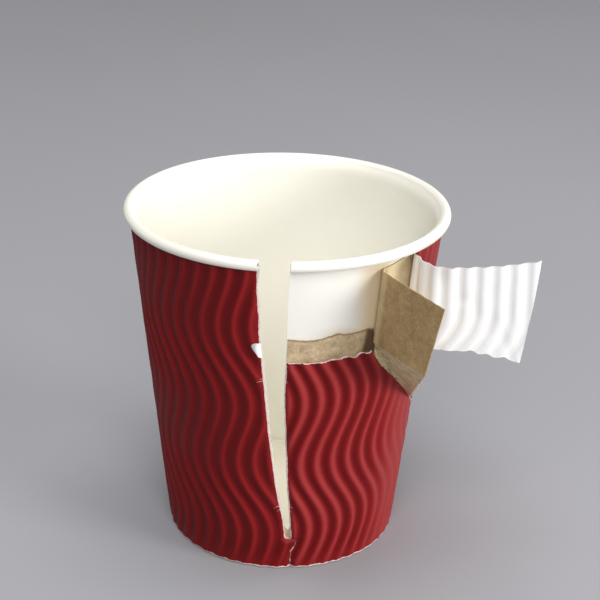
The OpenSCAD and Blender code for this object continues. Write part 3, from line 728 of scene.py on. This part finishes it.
def build_kraft():
    n = K_FLAP + K_BACK + K_SLIT + 1
    c = np.arange(n)
    flap = c < K_FLAP
    az_mid = kraft_az(72.6)
    z_mid = np.where(flap, kraft_tear(az_mid), KRAFT_TEAR_END)
    rows_low = [np.full(n, z) for z in (KRAFT_LIFT, 5.0, KRAFT_CUT_END, 12.4, 12.9, 13.5)]
    rows_low += [mix(13.5, z_mid - 1.2, k / 12) for k in range(1, 13)]
    rows_low += [z_mid - d for d in (0.8, 0.45, 0.2, 0.0)]
    outer, inner, tear, crease = [], [], [], []

    def keep(mid, normal, distance, bend=0.0):
        outer.append((mid + normal * KRAFT_T / 2).reshape(-1, 3))
        inner.append((mid - normal * KRAFT_T / 2).reshape(-1, 3))
        tear.append(np.asarray(distance, float).reshape(-1))
        crease.append((np.asarray(bend, float) + 0 * distance).reshape(-1))

    mids, normals, near, bend = [], [], [], []
    for z in rows_low:
        az = np.array([kraft_az(h)[i] for i, h in enumerate(z)])
        mids.append(polar(KRAFT_MID + TAPER * z, az, z))
        normals.append(outward(az))
        near.append(np.where(flap, z_mid - z, 9.0))
        # Painted shadow at the right end of the kraft strip, where the flap stands out beside it
        bend.append(-ease((az - 31.2 - 0.6 * jag(z, 1.3, 33)) / 2.4) * ease((z - 63) / 2) * flap)
    keep(np.stack(mids, 1), np.stack(normals, 1), np.stack(near, 1), np.stack(bend, 1))
    low = index_grid(n, len(rows_low))
    low[-1, :3] = low[0, :3]

    az_top = kraft_az(KRAFT_TOP)
    z_foot = np.where(flap, mix(69.6, 71.3, level(1 - az_top / FLAP_AZ)), KRAFT_TEAR_END)
    z_foot = mix(z_foot, KRAFT_TEAR_END, ease(1 - (FLAP_AZ - az_top) / 1.2) * flap)
    z_roof = mix(90.4, KRAFT_TOP, level((az_top - FLAP_AZ) / 15))
    z_roof = z_roof + 0.08 * jag(az_top, 1.7, 8) * flap
    fractions = np.linspace(0, 1, 23)
    mids, normals, near, bend = [], [], [], []
    for f in fractions:
        z = mix(z_foot, z_roof, f)
        az = np.where(flap, az_top, np.array([kraft_az(h)[i] for i, h in enumerate(z)]))
        on_cup, n_cup = polar(KRAFT_MID + TAPER * z, az, z), outward(az)
        away, n_away = flap_surface(az, z)
        s = level((FLAP_AZ - az) / 12)
        wavy = 0.12 * ease(s * 2) * (jag(az, 9.0, 31) + 0.6 * jag(z + 0.5 * az, 6.0, 32))
        away = away + n_away * wavy[:, None]
        mids.append(np.where(flap[:, None], away, on_cup))
        normals.append(np.where(flap[:, None], n_away, n_cup))
        near.append(0 * z + 9.0)
        run = (FLAP_AZ - az) * (KRAFT_MID + TAPER * z) * DEG
        # Painted light on the kraft behind the flap, plus a painted highlight on the flap's rounded bend
        lit = 1.35 * ease(-run / 0.5) * ease((80 - az) / 8) * ease((z - 66) / 6) * (az < 90)
        bend.append(ease(run / 0.4) * ease((5.4 - run) / 2) + lit)
    keep(np.stack(mids, 1), np.stack(normals, 1), np.stack(near, 1), np.stack(bend, 1))
    high = index_grid(n, len(fractions), low.size)
    high[K_FLAP:, 0] = low[K_FLAP:, -1]

    t = c[:K_FLAP] / K_FLAP
    steps = np.concatenate([np.linspace(0, CREASE, 13)[1:], [0.92, 1.0]])
    e = 0.01

    def fold(tt, g):
        a = np.interp(tt, c[: K_FLAP + 1] / K_FLAP, az_top[: K_FLAP + 1])
        h = np.interp(tt, c[: K_FLAP + 1] / K_FLAP, z_foot[: K_FLAP + 1])
        return fold_surface(a, h, g + 0 * tt, tt)

    mids, normals, near = [], [], []
    for g in steps:
        mid = fold(t, g)
        across = fold(np.minimum(t + e, 0.99), g) - fold(np.minimum(t + e, 0.99) - 2 * e, g)
        down = fold(t, min(g + e, 1.0)) - fold(t, g - e)
        nn = -np.cross(across, down)
        normals.append(nn / np.linalg.norm(nn, axis=-1, keepdims=True))
        mids.append(mid)
        near.append(9.0 + 0 * t)
    keep(np.stack(mids, 1), np.stack(normals, 1), np.stack(near, 1))
    fold_grid = index_grid(K_FLAP, len(steps), low.size + n * len(fractions))
    fold_grid = np.concatenate([high[:K_FLAP, :1], fold_grid], 1)
    apex = np.full((1, fold_grid.shape[1]), low[K_FLAP, -1])
    fold_grid = np.concatenate([fold_grid, apex], 0)[:, ::-1]
    quads = np.concatenate([quads_of(low), quads_of(high), quads_of(fold_grid)])
    obj = paper(
        "kraft_paper",
        np.concatenate(outer),
        np.concatenate(inner),
        quads,
        (KRAFT, KRAFT_IN, KRAFT_EDGE, KRAFT_FOLD_PAINTED_LIGHT),
        [("tear_mm", np.concatenate(tear)), ("crease", np.concatenate(crease))],
        len(quads_of(low)) + len(quads_of(high)),
    )
    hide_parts("kraft_layer")
    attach(obj, "root")


# White cup wall
FOLD_STEP = WALL_T + BASE_T + 2 * GLUE_GAP
ROLL_C = np.array([RIM_D / 2 - ROLL_D / 2, CUP_H - ROLL_D / 2])
ROLL_R = (ROLL_D - WALL_T) / 2


def wall_r(z):
    return WALL_MID + TAPER * z


def roll_at(a):
    r = ROLL_R - 0.25 * min(1.0, max(0.0, -a / 150))
    return ROLL_C + r * np.array([math.cos(a * DEG), math.sin(a * DEG)])


def wall_path():
    """Middle line of the cup wall, from the edge inside the foot to the end of the rim's roll."""
    mid_t = WALL_T / 2
    points = [(wall_r(z) - FOLD_STEP, z) for z in (FOOT_FOLD, 4.0, 2.0, mid_t + 0.3)]
    inner_c = (wall_r(0.3) - FOLD_STEP + 0.3, mid_t + 0.3)
    outer_c = (wall_r(0.3) - 0.3, mid_t + 0.3)
    for c, turns in ((inner_c, (210, 240, 270)), (outer_c, (270, 300, 330, 360))):
        points += [(c[0] + 0.3 * math.cos(a * DEG), c[1] + 0.3 * math.sin(a * DEG)) for a in turns]
    low, high = 2.0, CUP_H - ROLL_D / 2 - FLARE_H
    heights = [low, 4.5, 7.0, 9.5, 12.0, 12.8, 13.1, 13.5, 15.0] + list(np.linspace(18, high, 110))
    points += [(wall_r(z), z) for z in heights]
    a, c = np.array(points[-1]), roll_at(165)
    z_b = CUP_H - ROLL_D / 2 - FLARE_H / 3
    b = np.array([wall_r(z_b), z_b])
    points += [tuple((1 - t) ** 2 * a + 2 * t * (1 - t) * b + t * t * c) for t in (0.2, 0.4, 0.6, 0.8)]
    points += [tuple(roll_at(a)) for a in range(165, -151, -9)]
    return np.array(points)


def build_wall():
    path = wall_path()
    step = np.diff(path, axis=0)
    side = np.stack([step[:, 1], -step[:, 0]], -1) / np.linalg.norm(step, axis=1)[:, None]
    before = np.concatenate([side[:1], side])
    after = np.concatenate([side, side[-1:]])
    normal = (before + after) / (1 + (before * after).sum(-1))[:, None]
    z = path[:, 1]
    rows = len(path)
    slit = level((z - 12.8) / 0.6)
    first_flat = int(np.argmax(z > 12.9))
    slit[:first_flat] = 0
    right = mix(3.3, cut_right(np.maximum(z, 13), 0.08, -0.1), slit)
    left = mix(3.3, cut_left(np.maximum(z, 13), 0.1, -0.2) + 0.3 * jag(z, 0.7, 14), slit)
    lap = [-40.0, -39.8, -30.2, -30.0]
    whole = [a for a in np.linspace(14, 346, 250) if min(abs(a - 360 - np.array(lap))) > 0.4]
    fixed = np.sort(np.concatenate([whole, np.array(lap) + 360]))
    near = np.linspace(0, 1, 15)
    az = np.concatenate(
        [
            mix(right[None, :], 14.0, near[:-1, None]),
            np.repeat(fixed[:, None], rows, 1),
            mix(346.0, 360 + left[None, :], near[1:, None]),
        ]
    )
    cols = len(az)
    on_lap = level(np.minimum((az - 320.1) / 0.2, (330.0 - az) / 0.2))
    inside = WALL_T / 2 + 0.3 * on_lap * level((z - 7.4) / 0.1) * level((92.0 - z) / 0.3)
    rp = np.broadcast_to(path[:, 0], az.shape)
    ro = rp + normal[:, 0] * WALL_T / 2
    zo = np.broadcast_to(z + normal[:, 1] * WALL_T / 2, az.shape)
    ri = rp - normal[:, 0] * inside
    zi = z - normal[:, 1] * inside
    grid = index_grid(cols, rows)
    grid[-1, :first_flat] = grid[0, :first_flat]
    # Painted shade and painted warm reflection of the kraft on the white wall beside the kraft flap, and a
    # painted warm glow along the lower edge of the window above the kraft strip
    painted_warm_shade = ease((az - 24) / 11) * level((42 - az) / 3) * ease((zo - 67) / 3) * ease((93 - zo) / 2)
    painted_window_glow = 0.5 * ease((76.5 - zo) / 3) * level((az - 8) / 12) * level((42 - az) / 3)
    painted_warm_shade = np.maximum(painted_warm_shade, painted_window_glow)
    obj = paper(
        "cup_wall_paper",
        polar(ro, az, zo).reshape(-1, 3),
        polar(ri, az, zi).reshape(-1, 3),
        quads_of(grid),
        (WHITE_OUT, WHITE, WHITE_EDGE),
        [("painted_warm_shade", painted_warm_shade.reshape(-1))],
    )
    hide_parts("cup_wall")
    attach(obj, "root")


def build_base():
    bend = 0.7
    rim = wall_r(BASE_RECESS - bend) - FOLD_STEP / 2
    c = (rim - bend, BASE_RECESS - bend)
    path = [(0.02, BASE_RECESS)] + [(r, BASE_RECESS) for r in np.linspace(3, c[0] - 3.2, 9)]
    path += [(c[0] - d, BASE_RECESS - dip) for d, dip in ((2.6, 0.06), (2.0, 0.12), (1.4, 0.06), (0.7, 0))]
    path += [(c[0] + bend * math.cos(a * DEG), c[1] + bend * math.sin(a * DEG)) for a in range(90, -1, -15)]
    path += [(wall_r(z) - FOLD_STEP / 2, z) for z in (5.0, 3.5, 2.2, 0.8 + WALL_T)]
    path = np.array(path)
    step = np.diff(path, axis=0)
    side = np.stack([step[:, 1], -step[:, 0]], -1) / np.linalg.norm(step, axis=1)[:, None]
    normal = -(np.concatenate([side[:1], side]) + np.concatenate([side, side[-1:]])) / 2
    normal[0] = normal[1] = (0, 1)
    az = np.linspace(0, 360, 181)[:-1]
    cols, rows = len(az), len(path)
    a = np.repeat(az[:, None], rows, 1)
    grid = index_grid(cols, rows)
    grid[:, 0] = grid[0, 0]
    grid = np.concatenate([grid, grid[:1]], 0)
    up = polar(path[:, 0] + normal[:, 0] * BASE_T / 2, a, path[:, 1] + normal[:, 1] * BASE_T / 2)
    down = polar(path[:, 0] - normal[:, 0] * BASE_T / 2, a, path[:, 1] - normal[:, 1] * BASE_T / 2)
    obj = paper(
        "cup_base_paper",
        up.reshape(-1, 3),
        down.reshape(-1, 3),
        quads_of(grid)[:, ::-1],
        (BASE, BASE, WHITE_EDGE),
    )
    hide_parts("cup_base")
    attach(obj, "root")


build_wall()
build_base()
build_kraft()
build_wrap()
build_scrap()
build_fibres()
build_fringe()


# Floor
def build_floor():
    k = Look("floor")
    k.tree.nodes.remove(k.shader)
    out = k.tree.nodes["Material Output"]
    diffuse = k.node("ShaderNodeBsdfDiffuse")
    tone = k.blend(k.span(k.noise(3.0, 2.0), 0.3, 0.7), linear("#a2a2a6"), linear("#a5a5aa"))
    k.link(tone, diffuse.inputs["Color"])
    k.link(diffuse.outputs[0], out.inputs["Surface"])
    bpy.ops.mesh.primitive_plane_add(size=8.0, location=(0, 1.0, 0))
    floor = bpy.context.object
    floor.name = "floor"
    floor.data.materials.append(k.material)


build_floor()


# Camera, in radians and metres
PITCH, YAW, ROLL = 0.4063, 0.0096, 0.0244
EYE = (0, -0.4219837, 0.2487956)
SENSOR, FOCAL_SHARE = 36.0, 1648.6176 / 600


def build_camera():
    level_way = math.cos(PITCH)
    forward = Vector((math.sin(YAW) * level_way, math.cos(YAW) * level_way, -math.sin(PITCH)))
    right = Vector((math.cos(YAW), -math.sin(YAW), 0))
    up = right.cross(forward)
    rolled_right = right * math.cos(ROLL) + up * math.sin(ROLL)
    rolled_up = up * math.cos(ROLL) - right * math.sin(ROLL)
    data = bpy.data.cameras.new("camera")
    data.sensor_width = SENSOR
    data.lens = FOCAL_SHARE * SENSOR
    data.clip_end = 50
    cam = bpy.data.objects.new("camera", data)
    bpy.context.collection.objects.link(cam)
    turn = Matrix((rolled_right, rolled_up, -forward)).transposed().to_4x4()
    cam.matrix_world = Matrix.Translation(EYE) @ turn
    bpy.context.scene.camera = cam


build_camera()


# Lights
def area(name, place, target, size, power, tint=(1, 1, 1)):
    data = bpy.data.lights.new(name, "AREA")
    data.shape = "DISK"
    data.size = size
    data.energy = power
    data.color = tint
    lamp = bpy.data.objects.new(name, data)
    bpy.context.collection.objects.link(lamp)
    lamp.location = place
    lamp.rotation_euler = (Vector(target) - Vector(place)).to_track_quat("-Z", "Y").to_euler()


CUP_MIDDLE = (0, 0, 0.05)
WARM = (1.0, 0.985, 0.97)
area("front", (0.0, -1.11, 0.98), CUP_MIDDLE, 0.9, 11.7)
area("side", (1.22, -0.7, 0.4), CUP_MIDDLE, 0.6, 14.4, WARM)
area("rim", (1.3, 0.53, 0.4), CUP_MIDDLE, 0.6, 3.4, WARM)
area("top", (-0.06, 0.0, 1.5), CUP_MIDDLE, 1.2, 15.4)

world = bpy.data.worlds.new("world")
bpy.context.scene.world = world
world.use_nodes = True
background = world.node_tree.nodes["Background"]
background.inputs["Color"].default_value = (0.95, 0.97, 1.0, 1.0)
background.inputs["Strength"].default_value = 0.06

bpy.context.scene.view_settings.view_transform = "Standard"
